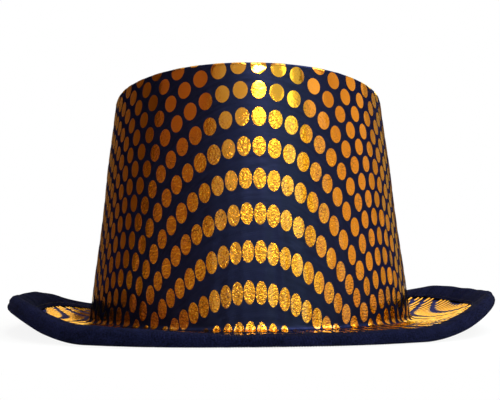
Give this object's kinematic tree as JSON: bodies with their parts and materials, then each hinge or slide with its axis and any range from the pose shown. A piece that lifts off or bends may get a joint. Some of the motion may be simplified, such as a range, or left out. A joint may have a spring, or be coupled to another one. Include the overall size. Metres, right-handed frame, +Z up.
{
  "type": "party top hat",
  "caption": "Moulded top hat with a tapered oval crown and a brim curled up at the sides, covered in navy fabric with gold foil dots and bound with ribbed tape, worn at New Year parties.",
  "frame": {"origin": "on the resting surface, under the middle of the brim", "axes": "+Z up through the crown, -Y towards the front of the hat, +X to the right in the front view"},
  "size_m": [0.2672, 0.3, 0.1365],
  "materials": {
    "dotted_cover": "navy knit printed with gold foil dots",
    "moulded_felt": "stiff moulded felt",
    "facing_fabric": "plain navy cloth",
    "ribbed_tape": "matte navy tape with fine cross ribs",
    "thread": "navy sewing thread",
    "wire": "drawn wire",
    "sweatband_ribbon": "black grosgrain ribbon",
    "lining_satin": "navy satin",
    "label_satin": "blank woven satin"
  },
  "bodies": {
    "root": {"outer_cover": "dotted_cover", "hat_shell": "moulded_felt", "brim_facing": "facing_fabric", "brim_binding": "ribbed_tape", "binding_stitch": "thread", "brim_wire": "wire", "sweatband": "sweatband_ribbon", "sweatband_stitch": "thread", "side_lining": "lining_satin", "tip_lining": "lining_satin", "size_label": "label_satin"}
  },
  "joints": []
}
